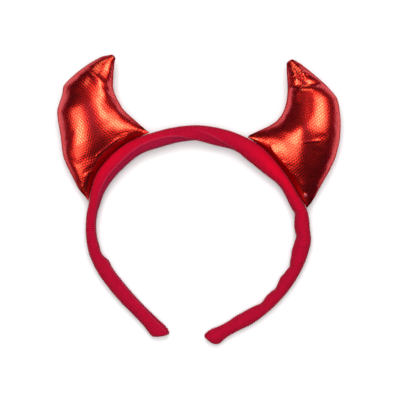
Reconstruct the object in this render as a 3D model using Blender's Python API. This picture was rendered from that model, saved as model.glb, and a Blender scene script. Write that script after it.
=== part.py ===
# Devil horns headband: a fabric-covered band with two stuffed horns of metallic foil cloth.
# It lies on its side: x runs across the head, y towards the horns, z up from the surface.
# Metres and degrees.

import math

import bpy
import numpy as np

for old_object in list(bpy.data.objects):
    bpy.data.objects.remove(old_object, do_unlink=True)

head_width = 0.1240         # clear width between the two arms
band_width = 0.0099         # padded band, across the curve
band_depth = 0.0104         # padded band, from its underside to its top
end_reach = 0.0056          # how far a rounded end reaches past its last section
seam_rise = 0.0008          # lapped seam of the sleeve, above the sleeve
horn_height = 0.0484        # from the line between the feet to the level of the tip
horn_depth = 0.0226         # thickest part of a stuffed horn
tip_reach = 0.0012          # rounding beyond the last section of a horn
foot_sink = 0.0020          # how far a horn's open end is drawn in behind the band's edge
rest_flat = 0.0009          # how far a soft underside is pressed flat where it rests
sew_gap = 0.0003            # between the band and the edge of a horn sewn to it

loop_radius = (head_width + band_width) / 2

band_stations = 98          # sections along the band
band_sides = 22             # points round a band section
horn_rows = 40              # sections from the foot of a horn to its tip
horn_columns = 18           # steps across a horn, front and back alike
sewn_share = 0.16           # share of a horn's length that bends to follow the band
edge_curve = 0.55           # edges between sections, from straight (0) to curved (1)
seam_spread = 24.0          # half angle that the lapped seam takes up
seam_tuck = 42.0            # angle from the seam to the hollow beside it

# One row for each section of the band, anticlockwise from the end of the right arm.
# angle about the middle of the loop, centre as a share of loop_radius, width and depth
# as shares of band_width and band_depth, seam as an angle round the section (0 outer
# edge, 90 top, 180 inner edge), lap as a share of seam_rise.
band_sections = np.array([
    # angle  centre  width  depth  seam   lap
    [-80.5, 0.9790, 1.03, 0.92, 176, 0.4],
    [-76.5, 0.9565, 0.84, 0.90, 176, 0.7],
    [-70.0, 0.9340, 0.76, 0.88, 178, 1.0],
    [-60.0, 0.9220, 0.88, 0.90, 180, 1.0],
    [-48.0, 0.9295, 0.74, 0.90, 184, 1.0],
    [-35.0, 0.9380, 0.75, 0.90, 184, 1.0],
    [-22.0, 0.9560, 0.80, 0.92, 180, 1.0],
    [-10.0, 0.9700, 0.94, 0.95, 184, 0.9],
    [-4.5, 0.9760, 0.99, 0.97, 187, 0.8],
    [2.0, 0.9700, 0.92, 0.98, 190, 0.7],
    [11.0, 0.9685, 0.87, 1.00, 198, 0.5],
    [20.0, 0.9385, 0.75, 1.00, 208, 0.4],
    [30.0, 0.9240, 0.74, 1.00, 214, 0.4],
    [42.0, 0.9000, 1.04, 1.02, 216, 0.4],
    [54.0, 0.9010, 1.20, 1.04, 214, 0.4],
    [66.0, 0.9125, 1.04, 1.02, 206, 0.6],
    [78.0, 0.9110, 1.07, 1.00, 196, 0.9],
    [90.0, 0.9260, 0.96, 1.00, 184, 1.2],
    [102.0, 0.9300, 0.98, 1.00, 158, 1.3],
    [114.0, 0.9440, 1.02, 1.00, 132, 1.1],
    [126.0, 0.9790, 1.03, 1.02, 122, 1.0],
    [138.0, 1.0020, 1.17, 1.02, 118, 1.0],
    [148.0, 1.0150, 1.09, 1.00, 120, 1.0],
    [158.0, 1.0115, 0.86, 1.00, 124, 0.9],
    [164.0, 1.0020, 0.71, 0.99, 126, 0.8],
    [170.0, 1.0035, 0.66, 0.98, 128, 0.8],
    [182.0, 0.9935, 0.69, 0.96, 132, 0.8],
    [191.0, 0.9800, 0.73, 0.95, 134, 0.9],
    [200.0, 0.9425, 0.91, 0.94, 136, 1.0],
    [211.0, 0.9105, 0.96, 0.92, 136, 1.0],
    [222.0, 0.9000, 0.94, 0.92, 134, 1.0],
    [233.0, 0.9120, 0.90, 0.92, 130, 0.9],
    [241.0, 0.9410, 0.94, 0.92, 126, 0.7],
    [247.1, 0.9820, 1.08, 0.92, 124, 0.4],
])

# Bunches and notches that the sewing leaves in the inner edge of the sleeve.
# angle, reach in degrees along the band, swell as a share of band_width.
sleeve_bunches = np.array([
    # angle  reach  swell
    [-66.0, 3.5, 0.05],
    [-48.5, 3.0, -0.08],
    [-42.5, 2.6, 0.04],
    [-36.0, 2.2, -0.08],
    [-29.0, 2.6, 0.08],
    [-20.5, 2.2, -0.10],
    [-11.0, 3.0, 0.06],
    [-2.0, 2.6, -0.09],
    [4.5, 2.4, 0.04],
    [12.0, 2.4, -0.08],
    [188.0, 3.4, 0.06],
    [198.5, 3.0, 0.10],
])

# Ends of the band: how much further the inner corner reaches than the outer one.
right_slant_share = 0.40
left_slant_share = 0.60

# Feet of the horns: angles along the band of the outer and the inner foot.
left_feet = (163.9, 116.7)
right_feet = (12.2, 62.8)

# One row for each section of a horn, from the band to the tip. Its two edges are given
# from the middle of the line between the feet: along as a share of half that line, up
# as a share of horn_height. front and back are half thicknesses as shares of
# horn_depth / 2. The first row's edges are the feet themselves.
left_sections = np.array([
    # place  outer: along, up   inner: along, up   front  back
    [0.00, -1.000, 0.000, 1.000, 0.000, 0.29, 0.26],
    [0.03, -0.972, 0.061, 0.991, 0.044, 0.48, 0.40],
    [0.10, -0.943, 0.184, 0.988, 0.125, 0.76, 0.62],
    [0.20, -0.835, 0.360, 0.991, 0.233, 0.91, 0.82],
    [0.30, -0.697, 0.556, 0.992, 0.340, 0.98, 0.96],
    [0.35, -0.621, 0.636, 0.991, 0.393, 1.00, 0.99],
    [0.44, -0.345, 0.820, 1.009, 0.479, 1.00, 1.00],
    [0.53, 0.018, 1.068, 1.079, 0.598, 0.96, 0.96],
    [0.61, 0.377, 1.164, 1.150, 0.692, 0.86, 0.87],
    [0.66, 0.521, 1.222, 1.220, 0.747, 0.79, 0.80],
    [0.75, 0.907, 1.208, 1.310, 0.795, 0.64, 0.65],
    [0.85, 1.246, 1.167, 1.433, 0.851, 0.48, 0.48],
    [0.94, 1.556, 1.103, 1.575, 0.913, 0.30, 0.30],
    [1.00, 1.706, 1.037, 1.690, 0.959, 0.13, 0.13],
])
right_sections = np.array([
    # place  outer: along, up   inner: along, up   front  back
    [0.00, -1.000, 0.000, 1.000, 0.000, 0.29, 0.26],
    [0.03, -0.974, 0.074, 1.017, 0.023, 0.48, 0.40],
    [0.09, -0.929, 0.163, 0.990, 0.101, 0.74, 0.61],
    [0.18, -0.825, 0.330, 0.947, 0.206, 0.89, 0.80],
    [0.28, -0.702, 0.524, 0.898, 0.316, 0.98, 0.95],
    [0.38, -0.563, 0.697, 0.878, 0.415, 1.00, 1.00],
    [0.48, -0.342, 0.873, 0.904, 0.511, 1.00, 1.00],
    [0.58, -0.035, 1.040, 0.978, 0.606, 0.95, 0.95],
    [0.66, 0.240, 1.148, 1.079, 0.689, 0.88, 0.88],
    [0.71, 0.422, 1.198, 1.178, 0.750, 0.81, 0.81],
    [0.79, 0.784, 1.197, 1.302, 0.814, 0.66, 0.66],
    [0.88, 1.217, 1.157, 1.443, 0.876, 0.47, 0.47],
    [0.95, 1.517, 1.120, 1.587, 0.936, 0.30, 0.30],
    [1.00, 1.674, 1.087, 1.689, 0.985, 0.13, 0.13],
])

# Folds, ridges and dents of the horns' upper side. Each runs from one point to another,
# given like the edges above; reach and rise are shares of horn_depth.
left_folds = np.array([
    # from: along, up   to: along, up   reach  rise
    [0.99, 0.96, 0.60, 0.40, 0.17, 0.050],
    [0.24, 0.90, -0.66, 0.33, 0.20, 0.060],
    [-0.10, 0.40, 0.58, 0.30, 0.14, -0.050],
    [0.45, 1.05, 0.95, 1.03, 0.20, -0.060],
    [1.15, 1.14, 1.20, 0.77, 0.14, -0.080],
    [1.34, 1.12, 1.37, 0.88, 0.14, 0.060],
])
right_folds = np.array([
    # from: along, up   to: along, up   reach  rise
    [0.34, 0.60, -0.78, 0.10, 0.16, 0.060],
    [0.13, 0.63, 0.10, 0.72, 0.22, 0.050],
    [-0.30, 0.42, -0.55, 0.40, 0.18, -0.060],
    [0.11, 0.49, -0.10, 0.65, 0.07, -0.020],
    [1.27, 0.82, 1.07, 1.14, 0.14, -0.080],
    [1.44, 0.90, 1.27, 1.11, 0.14, 0.060],
])


def between_rows(table, places, roundness):
    """Rows read from a table at the given places, from straight (0) to curved (1)."""
    keys, values = table[:, 0], table[:, 1:]
    slopes = np.gradient(values, keys, axis=0)
    first = np.clip(np.searchsorted(keys, places, side="right") - 1, 0, len(keys) - 2)
    span = (keys[first + 1] - keys[first])[:, None]
    share = (places - keys[first])[:, None] / span
    straight = values[first] + (values[first + 1] - values[first]) * share
    curved = (
        values[first] * (2 * share**3 - 3 * share**2 + 1)
        + slopes[first] * span * (share**3 - 2 * share**2 + share)
        + values[first + 1] * (3 * share**2 - 2 * share**3)
        + slopes[first + 1] * span * (share**3 - share**2)
    )
    return straight + (curved - straight) * roundness


def bell(distance, reach):
    """A smooth swell: 1 in the middle, dying away past its reach."""
    return np.exp(-((distance / reach) ** 2))


def band_centre(angles):
    """Points on the middle line of the band, in the plane of the loop."""
    radius = between_rows(band_sections, angles, 1.0)[:, 0] * loop_radius
    turn = np.radians(angles)
    return np.column_stack([radius * np.cos(turn), radius * np.sin(turn)])


def outward(path):
    """Unit directions out of the loop, square to the path."""
    tangent = np.gradient(path, axis=0)
    tangent /= np.linalg.norm(tangent, axis=1)[:, None]
    out = np.column_stack([tangent[:, 1], -tangent[:, 0]])
    return out if (out * path).sum() > 0 else -out


def band_outer_edge(angles):
    """Points on the outer edge of the band."""
    width = between_rows(band_sections, angles, 1.0)[:, 1] * band_width
    path = band_centre(angles)
    return path + outward(path) * width[:, None] / 2


def horn_frame(feet):
    """Middle of the line between the feet, half that line, and the way up from it."""
    outer_foot, inner_foot = band_outer_edge(np.linspace(feet[0], feet[1], 9))[[0, -1]]
    middle = (outer_foot + inner_foot) / 2
    half_line = (inner_foot - outer_foot) / 2
    up = np.array([-half_line[1], half_line[0]]) / np.linalg.norm(half_line)
    if up @ middle < 0:
        up = -up
    return middle, half_line, up


def fullest_level(sections, feet):
    """The y of the middle of a horn's thickest section."""
    middle, half_line, up = horn_frame(feet)
    row = sections[np.argmax(sections[:, 6])]
    along = (row[1] + row[3]) / 2
    rise = (row[2] + row[4]) / 2
    return (middle + half_line * along + up * horn_height * rise)[1]


end_height = band_depth * band_sections[0, 3] / 2 - rest_flat / 2
lowest_level = band_centre(band_sections[:, 0])[:, 1].min()
resting_level = (
    fullest_level(left_sections, left_feet) + fullest_level(right_sections, right_feet)
) / 2
lean = (horn_depth / 2 - rest_flat - end_height) / (resting_level - lowest_level)


def middle_height(level):
    """Height of the loop's middle plane, which leans from the ends up to the horns."""
    return end_height + lean * (level - lowest_level)


def band_rings(extra):
    """Sections of the band as rings of points, grown by extra all round."""
    angles = np.linspace(band_sections[0, 0], band_sections[-1, 0], band_stations)
    rows = between_rows(band_sections, angles, 1.0)
    path = band_centre(angles)
    out = outward(path)
    round_section = np.arange(band_sides) * 2 * math.pi / band_sides
    rings = []
    for angle, row, centre, side in zip(angles, rows, path, out):
        _, width, depth, seam, lap = row
        off_seam = (np.degrees(round_section) - seam + 180) % 360 - 180
        lift = seam_rise * lap * (
            bell(off_seam, seam_spread) - 0.6 * bell(off_seam - seam_tuck, seam_spread)
        )
        swell = (bell(angle - sleeve_bunches[:, 0], sleeve_bunches[:, 1])
                 * sleeve_bunches[:, 2]).sum() * band_width
        inner_side = np.clip(-np.cos(round_section), 0, 1)
        across = width * band_width / 2 + extra + lift + swell * inner_side
        up = depth * band_depth / 2 + extra + lift
        rings.append(section_ring(centre, side, across * np.cos(round_section),
                                  up * np.sin(round_section)))
    along = [-np.array([side[1], -side[0]]) for side in (out[0], out[-1])]
    right_cap = end_rings(rings[0], path[0], out[0], -along[0], right_slant_share, extra)
    left_cap = end_rings(rings[-1], path[-1], out[-1], along[1], left_slant_share, extra)
    return right_cap[::-1] + rings + left_cap


def section_ring(centre, side, across, up):
    """Points round one section, standing on the leaning middle plane."""
    flat = centre[None, :] + side[None, :] * across[:, None]
    return np.column_stack([flat, middle_height(flat[:, 1]) + up])


def end_rings(last_ring, centre, side, forward, slant, extra):
    """Shrinking rings that round off an end, further out at its inner corner."""
    rings = []
    middle = np.append(centre, middle_height(centre[1]))
    for step in np.radians([24, 46, 64, 78, 87]):
        ring = middle + (last_ring - middle) * (math.cos(step) ** 0.6)
        inner_share = (middle[:2] - ring[:, :2]) @ side / (band_width / 2)
        reach = (end_reach + extra) * math.sin(step) * (1 + slant * inner_share)
        ring[:, :2] += forward[None, :] * reach[:, None]
        rings.append(ring)
    return rings


def horn_rings(sections, feet, folds):
    """Sections of a horn as rings: over the front from outer to inner edge, then back."""
    middle, half_line, up = horn_frame(feet)
    places = np.linspace(0, 1, horn_rows)
    rows = between_rows(sections, places, edge_curve)
    across = (1 - np.cos(np.linspace(0, math.pi, horn_columns + 1))) / 2
    foot_angles = feet[0] + (feet[1] - feet[0]) * across
    foot_line = band_outer_edge(foot_angles) - outward(band_centre(foot_angles)) * foot_sink
    straight_line = middle + half_line * (2 * across - 1)[:, None]
    full = (1 - np.abs(2 * across - 1) ** 2.3) ** 0.6
    rings = []
    for place, row in zip(places, rows):
        outer = middle + half_line * row[0] + up * horn_height * row[1]
        inner = middle + half_line * row[2] + up * horn_height * row[3]
        line = outer + (inner - outer) * across[:, None]
        sewn = max(0.0, 1 - place / sewn_share) ** 2
        line = line + (foot_line - straight_line) * sewn
        front = full * row[4] * horn_depth / 2
        back = full * row[5] * horn_depth / 2
        front = front + fold_relief(line, middle, half_line, up, folds) * full * (1 - sewn)
        level = middle_height(line[:, 1])
        over = np.column_stack([line, level + front])
        under = np.column_stack([line, level - back])[-2:0:-1]
        rings.append(np.vstack([over, under]))
    return rings


def fold_relief(points, middle, half_line, up, folds):
    """Height that the folds add at the given points of the upper side."""
    relief = np.zeros(len(points))
    for from_along, from_up, to_along, to_up, reach, rise in folds:
        start = middle + half_line * from_along + up * horn_height * from_up
        stop = middle + half_line * to_along + up * horn_height * to_up
        run = stop - start
        share = np.clip((points - start) @ run / (run @ run), 0, 1)
        distance = np.linalg.norm(points - start - share[:, None] * run, axis=1)
        relief += bell(distance, reach * horn_depth) * rise * horn_depth
    return relief


def tip_point(rings):
    """The point that closes a horn just past its last section."""
    last = rings[-1].mean(axis=0)
    ahead = last - rings[-3].mean(axis=0)
    return last + ahead / np.linalg.norm(ahead) * tip_reach


def closed_skin(rings, first_point, last_point):
    """Points and faces of a closed skin over rings, with a point at either end."""
    count = len(rings[0])
    points = np.vstack([*rings, first_point, last_point])
    first, last = len(points) - 2, len(points) - 1
    faces = []
    for ring in range(len(rings) - 1):
        for side in range(count):
            here, beside = ring * count + side, ring * count + (side + 1) % count
            faces.append((here, beside, beside + count, here + count))
    top = (len(rings) - 1) * count
    for side in range(count):
        faces.append((first, (side + 1) % count, side))
        faces.append((last, top + side, top + (side + 1) % count))
    return points, faces


def outward_faces(points, faces):
    """The same faces, turned so that they all face outwards."""
    volume = 0.0
    for face in faces:
        for second, third in zip(face[1:-1], face[2:]):
            volume += points[face[0]] @ np.cross(points[second], points[third])
    return faces if volume > 0 else [face[::-1] for face in faces]


def add_solid(name, points, faces, look):
    """A named mesh object with smooth faces and its own material."""
    mesh = bpy.data.meshes.new(name)
    mesh.from_pydata(points.tolist(), [], outward_faces(points, faces))
    mesh.update()
    for polygon in mesh.polygons:
        polygon.use_smooth = True
    material = bpy.data.materials.new(name)
    material.use_nodes = True
    shader = material.node_tree.nodes["Principled BSDF"]
    for socket, value in look.items():
        shader.inputs[socket].default_value = value
    mesh.materials.append(material)
    solid = bpy.data.objects.new(name, mesh)
    bpy.context.scene.collection.objects.link(solid)
    return solid


def pressed_flat(points):
    """The same points, with what lies below the surface pressed up flat onto it."""
    return np.column_stack([points[:, :2], np.maximum(points[:, 2], 0.0)])


knit_look = {"Base Color": (0.52, 0.006, 0.030, 1), "Roughness": 0.85, "Metallic": 0.0}
foil_look = {"Base Color": (0.60, 0.020, 0.022, 1), "Roughness": 0.30, "Metallic": 0.9}

rings = band_rings(0.0)
band_points, band_faces = closed_skin(rings, rings[0].mean(axis=0), rings[-1].mean(axis=0))
rings = band_rings(sew_gap)
seat_points, seat_faces = closed_skin(rings, rings[0].mean(axis=0), rings[-1].mean(axis=0))
horns = []
for name, sections, feet, folds in (
    ("horn_left", left_sections, left_feet, left_folds),
    ("horn_right", right_sections, right_feet, right_folds),
):
    rings = horn_rings(sections, feet, folds)
    points, faces = closed_skin(rings, rings[0].mean(axis=0), tip_point(rings))
    horns.append((name, points, faces))

everything = np.vstack([band_points] + [points for _, points, _ in horns])
shift = np.append((everything.min(axis=0) + everything.max(axis=0))[:2] / 2, 0.0)

add_solid("headband", pressed_flat(band_points) - shift, band_faces, knit_look)
seat = add_solid("seat_cutter", seat_points - shift, seat_faces, knit_look)
seat.hide_render = True
seat.display_type = "WIRE"
for name, points, faces in horns:
    horn = add_solid(name, pressed_flat(points) - shift, faces, foil_look)
    cut = horn.modifiers.new("seat on the band", "BOOLEAN")
    cut.operation = "DIFFERENCE"
    cut.solver = "EXACT"
    cut.object = seat
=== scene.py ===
import math

import bmesh
import bpy
import numpy as np
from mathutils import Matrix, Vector


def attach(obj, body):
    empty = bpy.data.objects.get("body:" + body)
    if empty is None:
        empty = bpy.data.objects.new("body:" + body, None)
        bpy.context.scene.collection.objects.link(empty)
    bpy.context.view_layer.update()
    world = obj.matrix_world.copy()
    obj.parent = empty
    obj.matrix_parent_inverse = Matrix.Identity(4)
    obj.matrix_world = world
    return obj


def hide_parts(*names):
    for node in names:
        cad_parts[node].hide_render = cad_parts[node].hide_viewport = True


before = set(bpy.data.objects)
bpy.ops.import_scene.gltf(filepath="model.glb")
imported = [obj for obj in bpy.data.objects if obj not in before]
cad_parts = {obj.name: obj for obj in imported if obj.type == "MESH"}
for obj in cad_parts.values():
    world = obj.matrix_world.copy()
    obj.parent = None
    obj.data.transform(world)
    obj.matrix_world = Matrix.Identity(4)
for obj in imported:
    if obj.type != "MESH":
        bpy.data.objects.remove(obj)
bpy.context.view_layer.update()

millimetre = 0.001
toMillimetres = 1000


# small helpers for sockets, nodes and finished pieces

def link(tree, source, target):
    tree.links.new(source, target)


def addNode(tree, kind, label, **values):
    node = tree.nodes.new(kind)
    node.label = label
    for name, value in values.items():
        setattr(node, name, value)
    return node


def mathNode(tree, operation, first, second=None, label="", clamp=False):
    node = addNode(tree, "ShaderNodeMath", label, operation=operation, use_clamp=clamp)
    for place, value in enumerate((first, second)):
        if value is None:
            continue
        if isinstance(value, (int, float)):
            node.inputs[place].default_value = value
        else:
            link(tree, value, node.inputs[place])
    return node.outputs[0]


def mixColours(tree, label, share, first, second):
    node = addNode(tree, "ShaderNodeMix", label, data_type="RGBA")
    link(tree, share, node.inputs["Factor"])
    for socket, value in ((node.inputs[6], first), (node.inputs[7], second)):
        if isinstance(value, tuple):
            socket.default_value = value
        else:
            link(tree, value, socket)
    return node.outputs[2]


def newMaterial(name):
    material = bpy.data.materials.new(name)
    material.use_nodes = True
    return material, material.node_tree, material.node_tree.nodes["Principled BSDF"]


def finishPiece(piece, slotName, *nodes):
    for face in piece.data.polygons:
        face.use_smooth = True
    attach(piece, "root")
    if nodes:
        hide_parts(*nodes)


def bell(distance, reach):
    return np.exp(-((distance / reach) ** 2))


def betweenRows(table, places, roundness=1.0):
    # rows of a table read at any place, curved through its own rows
    table = np.array(table, float)
    places = np.asarray(places, float)
    keys, values = table[:, 0], table[:, 1:]
    slopes = np.gradient(values, keys, axis=0)
    first = np.clip(np.searchsorted(keys, places, side="right") - 1, 0, len(keys) - 2)
    span = (keys[first + 1] - keys[first])[:, None]
    share = (places - keys[first])[:, None] / span
    straight = values[first] + (values[first + 1] - values[first]) * share
    curved = (values[first] * (2 * share**3 - 3 * share**2 + 1)
              + slopes[first] * span * (share**3 - 2 * share**2 + share)
              + values[first + 1] * (3 * share**2 - 2 * share**3)
              + slopes[first + 1] * span * (share**3 - share**2))
    return straight + (curved - straight) * roundness


# the sleeve: ribbed knit pulled over the band, twisted, its seam lapped and bunched

sleeve = {
    "loopRadius": 66.95 * millimetre,
    "loopMiddle": (-0.000479, -0.020204),
    "width": 9.9 * millimetre,
    "depth": 10.4 * millimetre,
    "lapRise": 0.65 * millimetre,
    "lapEdge": 6.0,                 # degrees round the section, from the seam to the lap's edge
    "lapReach": 34.0,
    "lapDrop": 4.5,
    "lapHollow": 18.0,
    "hollowShare": 0.55,
    "lapMost": 1.2,
    "glintBack": 3.0,                # painted highlight on the lap's rolled edge, in degrees back from its edge
    "glintReach": 4.0,
    "underFrom": 6.0,               # painted shade on the cloth under a lap, in degrees past its edge
    "underTo": 60.0,
    "underFade": 45.0,
    "crownUnder": 0.5,
    "endReach": 5.6 * millimetre,
    "rightSlant": 0.40,
    "leftSlant": 0.60,
    "endHeight": 4.334 * millimetre,
    "lowestLevel": -64.645 * millimetre,
    "lean": 0.047470,
    "ribPitch": 1.40 * millimetre,
    "ribDepth": 0.20 * millimetre,
    "ribSkew": 0.5 * millimetre,
    "endRounding": 0.3,
    "segmentsPerRib": 4,
    "sides": 72,
    "pathPoints": 400,
    "finePoints": 1600,
    "weld": 0.01 * millimetre,
    "sections": [
        # angle, centre, width, depth, seam angle, lap
        (-80.5, 0.9790, 1.03, 0.92, 176, 0.4),
        (-76.5, 0.9565, 0.84, 0.90, 176, 0.7),
        (-70.0, 0.9340, 0.76, 0.88, 178, 1.0),
        (-60.0, 0.9220, 0.88, 0.90, 180, 1.0),
        (-48.0, 0.9295, 0.74, 0.90, 184, 1.0),
        (-35.0, 0.9380, 0.75, 0.90, 184, 1.0),
        (-22.0, 0.9560, 0.80, 0.92, 180, 1.0),
        (-10.0, 0.9700, 0.94, 0.95, 184, 0.9),
        (-4.5, 0.9760, 0.99, 0.97, 187, 0.8),
        (2.0, 0.9700, 0.92, 0.98, 190, 0.7),
        (11.0, 0.9685, 0.87, 1.00, 198, 0.5),
        (20.0, 0.9385, 0.75, 1.00, 208, 0.4),
        (30.0, 0.9240, 0.74, 1.00, 214, 0.4),
        (42.0, 0.9000, 1.04, 1.02, 216, 0.4),
        (54.0, 0.9010, 1.20, 1.04, 214, 0.4),
        (66.0, 0.9125, 1.04, 1.02, 206, 0.6),
        (78.0, 0.9110, 1.07, 1.00, 190, 0.9),
        (90.0, 0.9260, 0.96, 1.00, 150, 1.2),
        (102.0, 0.9300, 0.98, 1.00, 100, 1.2),
        (114.0, 0.9440, 1.02, 1.00, 84, 0.9),
        (126.0, 0.9790, 1.03, 1.02, 94, 0.9),
        (138.0, 1.0020, 1.17, 1.02, 106, 1.0),
        (148.0, 1.0150, 1.09, 1.00, 106, 1.0),
        (158.0, 1.0115, 0.86, 1.00, 110, 0.9),
        (164.0, 1.0020, 0.71, 0.99, 118, 0.8),
        (170.0, 1.0035, 0.66, 0.98, 128, 0.8),
        (182.0, 0.9935, 0.69, 0.96, 132, 0.8),
        (191.0, 0.9800, 0.73, 0.95, 134, 0.9),
        (200.0, 0.9425, 0.91, 0.94, 136, 1.0),
        (211.0, 0.9105, 0.96, 0.92, 136, 1.0),
        (222.0, 0.9000, 0.94, 0.92, 134, 1.0),
        (233.0, 0.9120, 0.90, 0.92, 130, 0.9),
        (241.0, 0.9410, 0.94, 0.92, 126, 0.7),
        (247.1, 0.9820, 1.08, 0.92, 124, 0.4),
    ],
    "crownLap": [
        # angle, angle round the section, how far the lap stands out
        (58.0, 176.0, 0.0), (64.0, 156.0, 0.7), (72.0, 130.0, 1.0), (80.0, 106.0, 0.9),
        (87.0, 86.0, 0.5), (94.0, 66.0, 0.0),
    ],
    "paintedGlowAndShade": [
        # angle, reach, angle round the section, spread, and painted light: plus for a red glow
        # reflected from the horns, minus for painted shade
        (140.0, 24.0, 48.0, 40.0, 1.0),
        (38.0, 24.0, 70.0, 62.0, 1.0),
        (3.0, 12.0, 6.0, 26.0, -0.8),
    ],
    "bunches": [
        # angle, reach in degrees, swell as a share of the width
        (-66.0, 3.5, 0.05), (-48.5, 3.0, -0.08), (-42.5, 2.6, 0.04), (-36.0, 2.2, -0.08),
        (-29.0, 2.6, 0.08), (-20.5, 2.2, -0.10), (-11.0, 3.0, 0.06), (-2.0, 2.6, -0.09),
        (4.5, 2.4, 0.04), (12.0, 2.4, -0.08), (188.0, 3.4, 0.06), (198.5, 3.0, 0.10),
    ],
}


def midPlane(level):
    # the loop leans a little, from its ends up to the horns; level is y in the frame
    own = level - sleeve["loopMiddle"][1]
    return sleeve["endHeight"] + sleeve["lean"] * (own - sleeve["lowestLevel"])


def sleevePath():
    # even steps along the band, with the angle, the centre and the way out of the loop at each
    table = np.array(sleeve["sections"])
    angles = np.linspace(table[0, 0], table[-1, 0], sleeve["finePoints"])
    radius = betweenRows(table, angles)[:, 0] * sleeve["loopRadius"]
    turn = np.radians(angles)
    points = np.column_stack([radius * np.cos(turn), radius * np.sin(turn)])
    points += np.array(sleeve["loopMiddle"])
    steps = np.linalg.norm(np.diff(points, axis=0), axis=1)
    length = np.concatenate([[0.0], np.cumsum(steps)])
    even = np.linspace(0.0, length[-1], sleeve["pathPoints"])
    path = np.column_stack([np.interp(even, length, points[:, k]) for k in (0, 1)])
    tangent = np.gradient(points, length, axis=0)
    tangent = np.column_stack([np.interp(even, length, tangent[:, k]) for k in (0, 1)])
    tangent /= np.linalg.norm(tangent, axis=1)[:, None]
    out = np.column_stack([tangent[:, 1], -tangent[:, 0]])
    return even, np.interp(even, length, angles), path, out


def lapOver(turn, edge, strength):
    # rise of a lap's rolled edge, the painted shade on the cloth under it, and a painted highlight
    # on its edge
    offEdge = (np.degrees(turn) - edge + 180) % 360 - 180
    folded = bell(offEdge, np.where(offEdge < 0, sleeve["lapReach"], sleeve["lapDrop"]))
    hollow = bell(offEdge - sleeve["lapHollow"], sleeve["lapHollow"])
    beyondUnder = np.clip((offEdge - sleeve["underTo"]) / sleeve["underFade"], 0, 1)
    under = np.clip(offEdge / sleeve["underFrom"], 0, 1) * (1 - beyondUnder)
    glinting = bell(offEdge + sleeve["glintBack"], sleeve["glintReach"])
    strength = np.clip(strength, 0, sleeve["lapMost"])
    return strength * (folded - sleeve["hollowShare"] * hollow), strength * under, strength * glinting


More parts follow.
